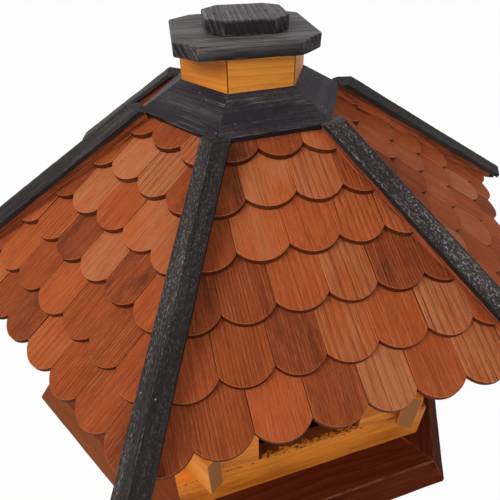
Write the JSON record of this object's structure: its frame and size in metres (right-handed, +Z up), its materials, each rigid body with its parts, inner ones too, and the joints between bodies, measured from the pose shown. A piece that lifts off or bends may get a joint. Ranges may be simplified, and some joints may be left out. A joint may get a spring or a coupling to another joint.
{
  "type": "bird feeder",
  "caption": "Hexagonal wooden bird feeder house with log-built walls, feed openings, a ledged base and a pyramid roof of round-ended shingles under a small capped cupola.",
  "frame": {"origin": "centre of the base plate's underside", "axes": "+Z up, -Y out of the front side, +X to the right seen from the front"},
  "size_m": [0.8274, 0.723, 0.5284],
  "materials": {
    "mahogany": "dark brown stained wood, satin",
    "orange_pine": "orange stained pine, sawn and planed",
    "shingle": "reddish stained split wood shingles",
    "black_stain": "black stained wood, worn grey at the edges"
  },
  "bodies": {
    "root": {"floor_plate": "mahogany", "border_boards_a": "mahogany", "border_boards_b": "mahogany", "lower_rail_front": "orange_pine", "lower_rail_front_right": "orange_pine", "lower_rail_back_right": "orange_pine", "lower_rail_back": "orange_pine", "lower_rail_back_left": "orange_pine", "lower_rail_front_left": "orange_pine", "crossing_blocks_lower": "orange_pine", "butted_blocks_lower": "orange_pine", "crossing_blocks_upper": "orange_pine", "butted_blocks_upper": "orange_pine", "upper_rail_front": "orange_pine", "upper_rail_front_right": "orange_pine", "upper_rail_back_right": "orange_pine", "upper_rail_back": "orange_pine", "upper_rail_back_left": "orange_pine", "upper_rail_front_left": "orange_pine", "roof_deck_front": "orange_pine", "roof_deck_front_right": "orange_pine", "roof_deck_back_right": "orange_pine", "roof_deck_back": "orange_pine", "roof_deck_back_left": "orange_pine", "roof_deck_front_left": "orange_pine", "shingles_front": "shingle", "shingles_front_right": "shingle", "shingles_back_right": "shingle", "shingles_back": "shingle", "shingles_back_left": "shingle", "shingles_front_left": "shingle", "hip_batten_front_right": "black_stain", "hip_batten_right": "black_stain", "hip_batten_back_right": "black_stain", "hip_batten_back_left": "black_stain", "hip_batten_left": "black_stain", "hip_batten_front_left": "black_stain", "collar_boards_a": "black_stain", "collar_boards_b": "black_stain", "cupola_boards_a": "orange_pine", "cupola_boards_b": "orange_pine", "cap_board": "black_stain", "cap_block": "black_stain"}
  },
  "joints": []
}
